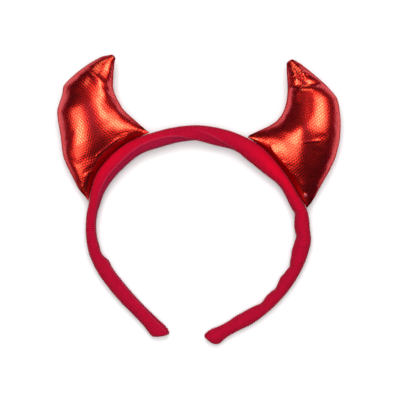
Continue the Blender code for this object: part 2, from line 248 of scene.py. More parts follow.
def makeSleeve():
    even, angles, path, out = sleevePath()
    capLength = sleeve["endReach"]
    wholeLength = even[-1] + 2 * capLength
    along = int(round(wholeLength / sleeve["ribPitch"] * sleeve["segmentsPerRib"]))
    shape = bmesh.new()
    bmesh.ops.create_grid(shape, x_segments=along, y_segments=sleeve["sides"], size=0.5)
    flat = np.array([v.co for v in shape.verts])
    place = (flat[:, 0] + 0.5) * wholeLength - capLength        # length along the band
    turn = (flat[:, 1] + 0.5) * 2 * math.pi                     # round the section
    held = np.clip(place, 0.0, even[-1])
    angle = np.interp(held, even, angles)
    centre = np.column_stack([np.interp(held, even, path[:, k]) for k in (0, 1)])
    side = np.column_stack([np.interp(held, even, out[:, k]) for k in (0, 1)])
    side /= np.linalg.norm(side, axis=1)[:, None]
    ahead = np.column_stack([-side[:, 1], side[:, 0]])
    rows = betweenRows(sleeve["sections"], angle)
    width, depth, seam, lap = rows[:, 1], rows[:, 2], rows[:, 3], rows[:, 4]
    crownEnds = sleeve["crownLap"][0][0], sleeve["crownLap"][-1][0]
    crown = betweenRows(sleeve["crownLap"], np.clip(angle, *crownEnds))
    rise, under, glint = lapOver(turn, seam + sleeve["lapEdge"], lap)
    crownRise, crownUnder, crownGlint = lapOver(turn, crown[:, 0], crown[:, 1])
    lift = sleeve["lapRise"] * (rise + crownRise)
    bunches = np.array(sleeve["bunches"])
    swell = (bell(angle[:, None] - bunches[:, 0], bunches[:, 1])
             * bunches[:, 2]).sum(axis=1) * sleeve["width"]
    innerSide = np.clip(-np.cos(turn), 0, 1)
    beyond = np.clip((held - place) / capLength, -1, 1)         # +1 at the right end
    pinch = np.clip(1 - beyond**2, 0, 1) ** sleeve["endRounding"]
    ribPhase = 2 * math.pi * (place + sleeve["ribSkew"] * np.sin(turn - np.radians(seam)))
    ribs = sleeve["ribDepth"] * np.cos(ribPhase / sleeve["ribPitch"]) * np.sqrt(pinch)
    across = width * sleeve["width"] / 2 + lift + ribs + swell * innerSide
    up = depth * sleeve["depth"] / 2 + lift + ribs
    sideways = across * np.cos(turn) * pinch
    slant = np.where(beyond > 0, sleeve["rightSlant"], sleeve["leftSlant"])
    reach = -beyond * capLength * (1 - slant * sideways / (sleeve["width"] / 2))
    plan = centre + side * sideways[:, None] + ahead * reach[:, None]
    height = midPlane((centre + side * sideways[:, None])[:, 1]) + up * np.sin(turn) * pinch
    height = np.maximum(height, 0.0)
    for vert, spot, z in zip(shape.verts, plan, height):
        vert.co = (spot[0], spot[1], z)
    # painted light and shade on the knit: red glow reflected from the horns, painted shade on the
    # right arm's outer lap and under the laps, and painted highlights on the laps' edges
    paintedGlowAndShade = np.array(sleeve["paintedGlowAndShade"])
    offTone = (np.degrees(turn)[:, None] - paintedGlowAndShade[:, 2] + 180) % 360 - 180
    tone = (bell(angle[:, None] - paintedGlowAndShade[:, 0], paintedGlowAndShade[:, 1])
            * bell(offTone, paintedGlowAndShade[:, 3]) * paintedGlowAndShade[:, 4]).sum(axis=1)
    tone -= under + sleeve["crownUnder"] * crownUnder
    glint = glint + crownGlint
    toneLayer = shape.verts.layers.float.new("tone")
    glintLayer = shape.verts.layers.float.new("lapGlint")
    for vert, toneHere, glintHere in zip(shape.verts, tone, glint):
        vert[toneLayer] = toneHere
        vert[glintLayer] = glintHere
    cloth = shape.loops.layers.uv.new("cloth")
    girth = math.pi * (sleeve["width"] + sleeve["depth"]) / 2
    shape.verts.index_update()
    for face in shape.faces:
        for loop in face.loops:
            spot = flat[loop.vert.index]
            loop[cloth].uv = ((spot[0] + 0.5) * wholeLength * toMillimetres,
                              (spot[1] + 0.5) * girth * toMillimetres)
    bmesh.ops.remove_doubles(shape, verts=shape.verts, dist=sleeve["weld"])
    bmesh.ops.recalc_face_normals(shape, faces=shape.faces)
    mesh = bpy.data.meshes.new("sleeve_ribbed")
    shape.to_mesh(mesh)
    shape.free()
    piece = bpy.data.objects.new("sleeve_ribbed", mesh)
    bpy.context.scene.collection.objects.link(piece)
    return piece


# the horns: two panels of foil cloth each, sewn together round the edge, turned and stuffed

hornMake = {
    "height": 48.4 * millimetre,    # from the line between the feet to the level of the tip
    "depth": 22.6 * millimetre,
    "tipReach": 1.2 * millimetre,
    "footGap": 0.32 * millimetre,   # between the cloth and the sleeve that it is sewn to
    "sewnShare": 0.24,
    "sewnCurve": 1.5,
    "edgeCurve": 0.55,
    "capRows": 4,
    "rows": 100,
    "tipRows": 6,
    "columns": 96,
    "rowCrowding": 1.25,            # rows lie closer together near the foot
    "footPoints": 9,
    "leastInside": 0.3,             # cloth deeper in the sleeve is pushed no harder than this
    "mostRise": 0.995,
    "tipAimRows": 4,                # rows before the tip that say which way it points
    "weld": 0.004 * millimetre,
    "roundness": (2.0, 0.62),        # crown of a stuffed section, nearly an ellipse
    "pressure": 3.0,
    "frames": 20,
    "quality": 6,
    "clothMass": 0.1,
    "stretchStiffness": 25.0,
    "bendStiffness": 0.5,
    "footHeld": 0.03,               # share of the way to the tip that the band holds
    "footLetGo": 0.05,
    "seamHeld": 1.2,                # in millimetres, as seamAway is
    "tableHeld": 0.3 * millimetre,
    "mostMove": 0.9 * millimetre,
    "settled": 0.33,                # how far the stuffing has pushed the cloth by now
    "extraCloth": -0.012,
    "seamStand": 0.30 * millimetre,
    "seamReach": 0.45,
    "flatBesideSeam": 3.0,
    "foldsFromFoot": 0.05,
    "frontEdge": 6.0,               # how sharply the folds stop at the sides
    "puckerDepth": 0.05 * millimetre,
    "puckerPitch": 2.4 * millimetre,
    "puckerFromSeam": 1.6,
    "puckerReach": 1.1,
    "puckerRun": 62.0,              # length of the seam, in millimetres
    "puckerDrift": 1.3,
    "puckerDriftTurns": 31.0,
    "dabDepth": 0.35 * millimetre,
    "hemEdge": 0.8 * millimetre,
    "hemWidth": 3.4 * millimetre,   # smooth strip beside the sleeve, narrowing to the feet
}

leftHorn = {
    "node": "horn_left",
    "name": "horn_stuffed_left",
    "feet": (163.9, 116.7),         # angles along the band, outer foot and inner foot
    "rowsRun": 137.0,               # way that the rows of the cloth run in, in degrees
    "sections": [
        # place, outer edge along and up, inner edge along and up, front, back
        (0.00, -1.000, 0.000, 1.000, 0.000, 0.12, 0.26),
        (0.03, -0.972, 0.061, 0.991, 0.044, 0.26, 0.40),
        (0.10, -0.943, 0.184, 0.988, 0.125, 0.54, 0.62),
        (0.20, -0.835, 0.360, 0.991, 0.233, 0.76, 0.82),
        (0.30, -0.697, 0.556, 0.992, 0.340, 0.90, 0.96),
        (0.35, -0.621, 0.636, 0.991, 0.393, 0.95, 0.99),
        (0.44, -0.345, 0.820, 1.009, 0.479, 1.02, 1.00),
        (0.53, 0.018, 1.068, 1.079, 0.598, 1.00, 0.96),
        (0.61, 0.377, 1.164, 1.150, 0.692, 0.88, 0.87),
        (0.66, 0.521, 1.222, 1.220, 0.747, 0.79, 0.80),
        (0.75, 0.907, 1.208, 1.310, 0.795, 0.62, 0.65),
        (0.85, 1.246, 1.167, 1.433, 0.851, 0.45, 0.48),
        (0.94, 1.556, 1.103, 1.575, 0.913, 0.28, 0.30),
        (1.00, 1.706, 1.037, 1.690, 0.959, 0.13, 0.13),
    ],
    "folds": [
        # from along and up, to along and up, reach and rise in millimetres
        (1.11, 1.18, 1.18, 0.76, 1.5, 0.35),
        (1.14, 0.96, 1.03, 0.76, 3.2, 0.90),
        (0.89, 0.48, 0.97, 0.18, 3.6, 0.50),
        (-0.09, 0.32, 0.41, 0.30, 4.0, -0.45),
    ],
    "creases": [
        (-0.14, 0.31, 0.45, 0.25, 0.55, 0.20),
        (-0.18, 0.24, 0.47, 0.18, 0.50, 0.16),
        (-0.13, 0.17, 0.43, 0.11, 0.50, 0.16),
        (-0.62, 0.28, -0.25, 0.24, 1.20, -0.14),
    ],
}
rightHorn = {
    "node": "horn_right",
    "name": "horn_stuffed_right",
    "feet": (12.2, 62.8),
    "rowsRun": 40.0,
    "sections": [
        (0.00, -1.000, 0.000, 1.000, 0.000, 0.14, 0.26),
        (0.03, -0.974, 0.074, 1.017, 0.023, 0.29, 0.40),
        (0.09, -0.929, 0.163, 0.990, 0.101, 0.52, 0.61),
        (0.18, -0.825, 0.330, 0.947, 0.206, 0.74, 0.80),
        (0.28, -0.702, 0.524, 0.898, 0.316, 0.88, 0.95),
        (0.38, -0.563, 0.697, 0.878, 0.415, 0.99, 1.00),
        (0.48, -0.342, 0.873, 0.904, 0.511, 1.03, 1.00),
        (0.58, -0.035, 1.040, 0.978, 0.606, 0.95, 0.95),
        (0.66, 0.240, 1.148, 1.079, 0.689, 0.84, 0.88),
        (0.71, 0.422, 1.198, 1.178, 0.750, 0.76, 0.81),
        (0.79, 0.784, 1.197, 1.302, 0.814, 0.62, 0.66),
        (0.88, 1.217, 1.157, 1.443, 0.876, 0.44, 0.47),
        (0.95, 1.517, 1.120, 1.587, 0.936, 0.28, 0.30),
        (1.00, 1.674, 1.087, 1.689, 0.985, 0.13, 0.13),
    ],
    "folds": [
        (1.30, 0.81, 0.87, 1.17, 2.2, -1.20),
        (1.08, 0.87, 0.42, 0.60, 5.5, 0.90),
        (0.19, 0.49, -0.59, 0.15, 5.0, 0.35),
        (1.49, 0.90, 1.28, 1.11, 1.1, 0.50),
    ],
    "creases": [
        (0.17, 0.48, -0.05, 0.67, 0.50, 0.20),
        (1.56, 0.99, 1.32, 0.96, 0.70, 0.30),
        (1.44, 1.08, 1.24, 1.05, 0.80, 0.35),
    ],
    "glueDab": (-0.776, 0.097, 0.85),   # along, up and reach in millimetres
}


def wayOut(path):
    # unit ways out of the loop, square to a path
    ahead = np.gradient(path, axis=0)
    ahead /= np.linalg.norm(ahead, axis=1)[:, None]
    out = np.column_stack([ahead[:, 1], -ahead[:, 0]])
    return out if (out * (path - np.array(sleeve["loopMiddle"]))).sum() > 0 else -out


def sleeveAt(angles):
    # centre of the sleeve, way out, half width and half depth, at angles in order
    rows = betweenRows(sleeve["sections"], angles)
    turn = np.radians(angles)
    radius = rows[:, 0] * sleeve["loopRadius"]
    path = np.column_stack([radius * np.cos(turn), radius * np.sin(turn)])
    path += np.array(sleeve["loopMiddle"])
    return path, wayOut(path), rows[:, 1] * sleeve["width"] / 2, rows[:, 2] * sleeve["depth"] / 2


def hornFrame(horn):
    # middle of the line between the feet, half that line, and the way up from it
    path, out, halfWidth, _ = sleeveAt(np.linspace(*horn["feet"], hornMake["footPoints"]))
    edge = path + out * halfWidth[:, None]
    middle = (edge[0] + edge[-1]) / 2
    halfLine = (edge[-1] - edge[0]) / 2
    up = np.array([-halfLine[1], halfLine[0]]) / np.linalg.norm(halfLine)
    if up @ (middle - np.array(sleeve["loopMiddle"])) < 0:
        up = -up
    return middle, halfLine, up


def sleeveNear(points):
    # angle of each point along the band, its way out of the loop, how far out of the sleeve's
    # middle it lies, and the sleeve's half width and half depth there
    stepsPerDegree, arc = 4, 180
    path, out, halfWidth, halfDepth = sleeveAt(np.linspace(0.0, arc, arc * stepsPerDegree + 1))
    own = points[:, :2] - np.array(sleeve["loopMiddle"])
    angle = np.degrees(np.arctan2(own[:, 1], own[:, 0]))
    near = np.clip(np.round(angle * stepsPerDegree), 0, arc * stepsPerDegree).astype(int)
    away = ((points[:, :2] - path[near]) * out[near]).sum(axis=1)
    return angle, out[near], away, halfWidth[near], halfDepth[near]


def clearOfSleeve(points):
    # cloth that would cut into the sleeve is laid on its surface instead
    _, out, away, halfWidth, halfDepth = sleeveNear(points)
    level = midPlane(points[:, 1])
    wide = halfWidth + hornMake["footGap"]
    deep = halfDepth + hornMake["footGap"]
    inside = np.sqrt((away / wide) ** 2 + ((points[:, 2] - level) / deep) ** 2)
    hardest = 1 / np.maximum(inside, hornMake["leastInside"])
    push = np.where((inside < 1) & (away > 0), hardest, 1.0)
    moved = points.copy()
    moved[:, :2] += out * (away * (push - 1))[:, None]
    moved[:, 2] = level + (points[:, 2] - level) * push
    return moved


def hornRows():
    # place, fullness and rounding of each row, from the foot on the band to the tip
    cap = np.linspace(0, 1, hornMake["capRows"] + 1)[:-1]
    main = np.linspace(0, 1, hornMake["rows"] + 1) ** hornMake["rowCrowding"]
    tip = np.linspace(0, 1, hornMake["tipRows"] + 1)[1:]
    place = np.concatenate([cap * 0, main, tip * 0 + 1])
    full = np.concatenate([np.sin(cap * math.pi / 2), main * 0 + 1, tip * 0 + 1])
    beyond = np.concatenate([cap * 0, main * 0, tip])
    return place, full, beyond


def hornShape(horn):
    # points of the stuffed horn as rows by columns, over the front and back under the rear
    middle, halfLine, up = hornFrame(horn)
    place, fullness, beyond = hornRows()
    rows = betweenRows(horn["sections"], place, hornMake["edgeCurve"])
    thick = betweenRows(horn["sections"], place)[:, 4:]
    turn = np.linspace(0, 2 * math.pi, hornMake["columns"] + 1)
    share = (1 - np.cos(turn)) / 2
    crown, squareness = hornMake["roundness"]
    full = np.maximum(1 - np.abs(2 * share - 1) ** crown, 0) ** squareness
    half = hornMake["columns"] // 2
    outerFoot, innerFoot = horn["feet"]
    footAngles = outerFoot + (innerFoot - outerFoot) * share[:half + 1]
    path, out, halfWidth, halfDepth = sleeveAt(footAngles)
    back = np.concatenate([np.arange(half + 1), np.arange(half - 1, -1, -1)])
    path, out, halfWidth, halfDepth = path[back], out[back], halfWidth[back], halfDepth[back]
    straight = middle + halfLine * (2 * share - 1)[:, None]
    grid = np.zeros((len(place), len(turn), 3))
    for number, row in enumerate(rows):
        outer = middle + halfLine * row[0] + up * hornMake["height"] * row[1]
        inner = middle + halfLine * row[2] + up * hornMake["height"] * row[3]
        line = outer + (inner - outer) * share[:, None]
        side = np.where(turn <= math.pi, thick[number, 0], -thick[number, 1])
        height = full * side * hornMake["depth"] / 2 * fullness[number]
        sewn = max(0.0, 1 - place[number] / hornMake["sewnShare"]) ** hornMake["sewnCurve"]
        deep = halfDepth + hornMake["footGap"]
        rise = np.clip(np.abs(height) / deep, 0, hornMake["mostRise"])
        foot = path + out * ((halfWidth + hornMake["footGap"]) * np.sqrt(1 - rise**2))[:, None]
        line = line + (foot - straight) * sewn
        grid[number, :, :2] = line
        grid[number, :, 2] = midPlane(line[:, 1]) + height
    last = len(grid) - 1 - hornMake["tipRows"]
    ahead = grid[last].mean(axis=0) - grid[last - hornMake["tipAimRows"]].mean(axis=0)
    ahead /= np.linalg.norm(ahead)
    for number in np.nonzero(beyond)[0]:
        centre = grid[number].mean(axis=0)
        rounding = math.sqrt(max(0.0, 1 - beyond[number] ** 2))
        grid[number] = centre + (grid[number] - centre) * rounding
        grid[number] += ahead * hornMake["tipReach"] * beyond[number]
    flat = clearOfSleeve(grid.reshape(-1, 3))
    flat[:, 2] = np.maximum(flat[:, 2], 0.0)
    return flat.reshape(grid.shape), place, turn


def layOfCloth(grid):
    # where each point lies on the flat cloth, in millimetres: each row unrolled from its middle
    half = hornMake["columns"] // 2
    flat = []
    for first, last in ((0, half), (half, 2 * half)):
        panel = grid[:, first:last + 1]
        steps = np.linalg.norm(np.diff(panel, axis=1), axis=2)
        arc = np.concatenate([np.zeros((len(grid), 1)), np.cumsum(steps, axis=1)], axis=1)
        arc -= arc[:, half // 2][:, None]
        way = panel[:, -1, :2] - panel[:, 0, :2]
        way /= np.maximum(np.linalg.norm(way, axis=1), 1e-9)[:, None]
        way[-hornMake["tipRows"]:] = way[-hornMake["tipRows"] - 1]
        lay = panel[:, half // 2, None, :2] + way[:, None, :] * arc[:, :, None]
        flat.append((lay * toMillimetres, arc))
    (front, frontArc), (rear, rearArc) = flat
    seamAway = np.zeros(grid.shape[:2])
    for first, arc in ((0, frontArc), (half, rearArc)):
        fromEdge = np.minimum(arc - arc[:, :1], arc[:, -1:] - arc)
        seamAway[:, first:first + half + 1] = fromEdge
    return front, rear, seamAway * toMillimetres


def rollPanels(horn):
    # a grid of cloth rolled into the two panels of the horn, closed at the foot and the tip
    grid, place, turn = hornShape(horn)
    front, rear, seamAway = layOfCloth(grid)
    rowCount, columnCount = len(place) - 1, hornMake["columns"]
    half = columnCount // 2
    shape = bmesh.new()
    bmesh.ops.create_grid(shape, x_segments=rowCount, y_segments=columnCount, size=0.5)
    row = [round((vert.co.x + 0.5) * rowCount) for vert in shape.verts]
    column = [round((vert.co.y + 0.5) * columnCount) for vert in shape.verts]
    cloth = shape.loops.layers.uv.new("cloth")
    away = shape.verts.layers.float.new("seamAway")
    alongHorn = shape.verts.layers.float.new("place")
    facing = shape.verts.layers.float.new("facing")
    shape.verts.index_update()
    for face in shape.faces:
        onFront = sum(column[loop.vert.index] for loop in face.loops) < 4 * half
        for loop in face.loops:
            number = loop.vert.index
            panel = front if onFront else rear
            loop[cloth].uv = panel[row[number], column[number] - (0 if onFront else half)]
    for vert in shape.verts:
        number = vert.index
        vert[away] = seamAway[row[number], column[number]]
        vert[alongHorn] = place[row[number]]
        vert[facing] = math.sin(turn[column[number]])
    for vert, r, c in zip(shape.verts, row, column):
        vert.co = grid[r, c]
    bmesh.ops.remove_doubles(shape, verts=shape.verts, dist=hornMake["weld"])
    bmesh.ops.recalc_face_normals(shape, faces=shape.faces)
    mesh = bpy.data.meshes.new(horn["name"])
    shape.to_mesh(mesh)
    shape.free()
    piece = bpy.data.objects.new(horn["name"], mesh)
    bpy.context.scene.collection.objects.link(piece)
    return piece


def meshPoints(mesh):
    flat = np.zeros(len(mesh.vertices) * 3)
    mesh.vertices.foreach_get("co", flat)
    return flat.reshape(-1, 3)


def meshNormals(mesh):
    flat = np.zeros(len(mesh.vertices) * 3)
    mesh.vertex_normals.foreach_get("vector", flat)
    return flat.reshape(-1, 3)


def meshValues(mesh, name):
    flat = np.zeros(len(mesh.vertices))
    mesh.attributes[name].data.foreach_get("value", flat)
    return flat


def setPoints(mesh, points):
    mesh.vertices.foreach_set("co", points.ravel())
    mesh.update()


def bakeModifiers(piece):
    evaluated = piece.evaluated_get(bpy.context.evaluated_depsgraph_get())
    mesh = bpy.data.meshes.new_from_object(evaluated)
    piece.modifiers.clear()
    piece.data = mesh
    return mesh


def puff(piece):
    # stuffing pushes the cloth out; the seam, the foot and what rests on the table are held
    mesh = piece.data
    points = meshPoints(mesh)
    fromFoot = meshValues(mesh, "place") - hornMake["footHeld"]
    foot = np.clip(1 - fromFoot / hornMake["footLetGo"], 0, 1)
    seam = bell(meshValues(mesh, "seamAway"), hornMake["seamHeld"])
    onTable = (points[:, 2] < hornMake["tableHeld"]).astype(float)
    hold = np.clip(np.maximum.reduce([foot, seam, onTable]), 0, 1)
    group = piece.vertex_groups.new(name="held")
    for index, weight in enumerate(hold):
        group.add([index], float(weight), "REPLACE")
    cloth = piece.modifiers.new("puff", "CLOTH")
    settings = cloth.settings
    settings.quality = hornMake["quality"]
    settings.mass = hornMake["clothMass"]
    settings.use_pressure = True
    settings.uniform_pressure_force = hornMake["pressure"]
    settings.effector_weights.gravity = 0.0
    settings.vertex_group_mass = "held"
    settings.pin_stiffness = 1.0
    settings.tension_stiffness = hornMake["stretchStiffness"]
    settings.compression_stiffness = hornMake["stretchStiffness"]
    settings.bending_stiffness = hornMake["bendStiffness"]
    settings.shrink_min = hornMake["extraCloth"]
    settings.shrink_max = hornMake["extraCloth"]
    cloth.collision_settings.use_collision = False
    cloth.collision_settings.use_self_collision = False
    scene = bpy.context.scene
    scene.frame_start = 1
    scene.frame_end = hornMake["frames"]
    cloth.point_cache.frame_start = 1
    cloth.point_cache.frame_end = hornMake["frames"]
    for number in range(1, hornMake["frames"] + 1):
        scene.frame_set(number)
    evaluated = piece.evaluated_get(bpy.context.evaluated_depsgraph_get())
    move = meshPoints(evaluated.data) - points
    far = np.linalg.norm(move, axis=1)
    most = hornMake["mostMove"]
    kept = hornMake["settled"] * most * np.tanh(far / most)
    print("  cloth moved", round(kept.max() * toMillimetres, 3), "mm at most")
    move *= (kept / np.maximum(far, 1e-9))[:, None]
    piece.modifiers.clear()
    piece.vertex_groups.clear()
    scene.frame_set(1)
    points = clearOfSleeve(points + move)
    points[:, 2] = np.maximum(points[:, 2], 0.0)
    setPoints(mesh, points)


def subdivideOnce(piece):
    smooth = piece.modifiers.new("subdivide", "SUBSURF")
    smooth.levels = smooth.render_levels = 1
    smooth.uv_smooth = "NONE"
    return bakeModifiers(piece)


def lineBells(points, frameOfHorn, table):
    # swell of every line in a table: rise inside its reach, in metres
    middle, halfLine, up = frameOfHorn
    swell = np.zeros(len(points))
    for fromAlong, fromUp, toAlong, toUp, reach, rise in table:
        start = middle + halfLine * fromAlong + up * hornMake["height"] * fromUp
        stop = middle + halfLine * toAlong + up * hornMake["height"] * toUp
        run = stop - start
        share = np.clip((points[:, :2] - start) @ run / (run @ run), 0, 1)
        away = np.linalg.norm(points[:, :2] - start - share[:, None] * run, axis=1)
        swell += bell(away, reach * millimetre) * rise * millimetre
    return swell


def hemShare(horn, points):
    # 1 on the strip of foil beside the sleeve, 0 beyond it
    angle, _, away, halfWidth, _ = sleeveNear(points)
    outerFoot, innerFoot = horn["feet"]
    share = (angle - outerFoot) / (innerFoot - outerFoot)
    width = hornMake["hemWidth"] * np.sqrt(np.clip(1 - (2 * share - 1) ** 2, 0, 1))
    return np.clip((width - (away - halfWidth)) / hornMake["hemEdge"], 0, 1)


def foldAndSew(horn, mesh):
    # folds of the front panel, then the stitched edge with its small puckers
    points, normals = meshPoints(mesh), meshNormals(mesh)
    seamAway, place, facing = [meshValues(mesh, name) for name in ("seamAway", "place", "facing")]
    onFront = np.clip(facing * hornMake["frontEdge"], 0, 1)
    offFoot = np.clip(place / hornMake["foldsFromFoot"], 0, 1)
    offSeam = 1 - bell(seamAway, hornMake["flatBesideSeam"])
    swell = lineBells(points, hornFrame(horn), horn["folds"]) * offSeam
    swell += lineBells(points, hornFrame(horn), horn["creases"])
    points[:, 2] += swell * onFront * offFoot
    drift = hornMake["puckerDrift"] * np.sin(place * hornMake["puckerDriftTurns"])
    run = place * hornMake["puckerRun"] + drift
    pucker = np.sin(2 * math.pi * run * millimetre / hornMake["puckerPitch"])
    pucker *= bell(seamAway - hornMake["puckerFromSeam"], hornMake["puckerReach"]) * offFoot
    points += normals * (hornMake["puckerDepth"] * pucker)[:, None]
    plan = normals[:, :2] / np.maximum(np.linalg.norm(normals[:, :2], axis=1), 1e-6)[:, None]
    stand = hornMake["seamStand"] * bell(seamAway, hornMake["seamReach"]) * offFoot
    points[:, :2] += plan * stand[:, None]
    if "glueDab" in horn:
        middle, halfLine, up = hornFrame(horn)
        along, rise, reach = horn["glueDab"]
        spot = middle + halfLine * along + up * hornMake["height"] * rise
        dab = bell(np.linalg.norm(points[:, :2] - spot, axis=1), reach * millimetre) * onFront
        points += normals * (hornMake["dabDepth"] * dab)[:, None]
        mesh.attributes.new("glueDab", "FLOAT", "POINT").data.foreach_set("value", dab)
    points[:, 2] = np.maximum(points[:, 2], 0.0)
    setPoints(mesh, points)
    hemAndSleeveReflection = mesh.attributes.new("hemAndSleeveReflection", "FLOAT", "POINT")
    hemAndSleeveReflection.data.foreach_set("value", hemShare(horn, points))


def makeHorn(horn):
    piece = rollPanels(horn)
    puff(piece)
    mesh = subdivideOnce(piece)
    foldAndSew(horn, mesh)
    return piece


# weave: rows of small raised stitches, shared by both cloths

weaveShape = {
    "driftScale": 0.35,
    "driftDetail": 2.0,
    "stitchShare": 0.9,             # how far a row sinks between two stitches
    "gapSharpness": 3.0,
}


def makeWeaveGroup():
    group = bpy.data.node_groups.new("weaveRows", "ShaderNodeTree")
    for name, kind, value in (("Cloth", "NodeSocketVector", None),
                              ("Row Pitch", "NodeSocketFloat", 1.0),
                              ("Stitch Pitch", "NodeSocketFloat", 1.0),
                              ("Turn", "NodeSocketFloat", 0.0),
                              ("Unevenness", "NodeSocketFloat", 0.2)):
        socket = group.interface.new_socket(name=name, in_out="INPUT", socket_type=kind)
        if value is not None:
            socket.default_value = value
    group.interface.new_socket(name="Height", in_out="OUTPUT", socket_type="NodeSocketFloat")
    group.interface.new_socket(name="Gap", in_out="OUTPUT", socket_type="NodeSocketFloat")
    entry = addNode(group, "NodeGroupInput", "cloth coordinates")
    leave = addNode(group, "NodeGroupOutput", "height and gaps")
    drift = addNode(group, "ShaderNodeTexNoise", "slack in the rows")
    drift.inputs["Scale"].default_value = weaveShape["driftScale"]
    drift.inputs["Detail"].default_value = weaveShape["driftDetail"]
    link(group, entry.outputs["Cloth"], drift.inputs["Vector"])
    centred = addNode(group, "ShaderNodeVectorMath", "drift about nothing", operation="SUBTRACT")
    link(group, drift.outputs["Color"], centred.inputs[0])
    centred.inputs[1].default_value = (0.5, 0.5, 0.5)
    scaled = addNode(group, "ShaderNodeVectorMath", "how uneven", operation="SCALE")
    link(group, centred.outputs[0], scaled.inputs[0])
    link(group, entry.outputs["Unevenness"], scaled.inputs["Scale"])
    moved = addNode(group, "ShaderNodeVectorMath", "drifted cloth", operation="ADD")
    link(group, entry.outputs["Cloth"], moved.inputs[0])
    link(group, scaled.outputs[0], moved.inputs[1])
    turned = addNode(group, "ShaderNodeVectorRotate", "lie of the rows", rotation_type="Z_AXIS")
    link(group, moved.outputs[0], turned.inputs["Vector"])
    link(group, entry.outputs["Turn"], turned.inputs["Angle"])
    split = addNode(group, "ShaderNodeSeparateXYZ", "across and along")
    link(group, turned.outputs[0], split.inputs[0])
    across = mathNode(group, "DIVIDE", split.outputs["X"], entry.outputs["Row Pitch"], "row number")
    row = mathNode(group, "FLOOR", mathNode(group, "ADD", across, 0.5), None, "nearest row")
    shift = mathNode(group, "MULTIPLY", row, 0.5, "every other row steps half a stitch")
    along = mathNode(group, "DIVIDE", split.outputs["Y"], entry.outputs["Stitch Pitch"], "stitch")
    along = mathNode(group, "ADD", along, shift)
    rowWave = mathNode(group, "COSINE", mathNode(group, "MULTIPLY", across, 2 * math.pi))
    stitchWave = mathNode(group, "COSINE", mathNode(group, "MULTIPLY", along, 2 * math.pi))
    rowHeight = mathNode(group, "MULTIPLY_ADD", rowWave, 0.5, "rows")
    rowHeight.node.inputs[2].default_value = 0.5
    stitchHeight = mathNode(group, "MULTIPLY_ADD", stitchWave, 0.5, "stitches")
    stitchHeight.node.inputs[2].default_value = 0.5
    stitchShare = weaveShape["stitchShare"]
    softened = mathNode(group, "MULTIPLY_ADD", stitchHeight, stitchShare, "sunk between stitches")
    softened.node.inputs[2].default_value = 1 - stitchShare
    height = mathNode(group, "MULTIPLY", rowHeight, softened, "stitch height")
    gap = mathNode(group, "SUBTRACT", 1.0, height)
    gap = mathNode(group, "POWER", gap, weaveShape["gapSharpness"], "gap between yarns")
    link(group, height, leave.inputs["Height"])
    link(group, gap, leave.inputs["Gap"])
    return group


foilLook = {
    "ridge": (0.78, 0.011, 0.026, 1),
    "gap": (0.14, 0.001, 0.006, 1),
    "gapDepth": 0.62,
    # darker stitched edge, with painted shade along the seam
    "seam": (0.26, 0.004, 0.012, 1),
    "edgeTint": (1.0, 0.18, 0.25, 1),
    # painted dark-red reflection of the sleeve on the smooth strip of foil beside it
    "hemAndSleeveReflection": (0.34, 0.001, 0.008, 1),
    "glue": (0.30, 0.10, 0.13, 1),
    "roughness": 0.23,
    "rubbed": 0.10,                 # how much duller the foil is where it is rubbed
    "gapRoughness": 0.20,
    "lacquerIor": 1.6,              # clear lacquer over the foil
    "lacquerRoughness": 0.21,
    "rowPitch": 1.65,               # millimetres on the cloth
    "stitchPitch": 1.75,
    "unevenness": 1.1,
    "wearScale": 0.16,
    "wearDetail": 6.0,
    "rimStart": 1.15,
    "rimFade": 0.33,                # for each millimetre away from the seam
    "rimLacquerLost": 0.92,
    "hemDuller": 0.3,
    "dabSpread": 1.3,
    "relief": 0.055 * millimetre,
}


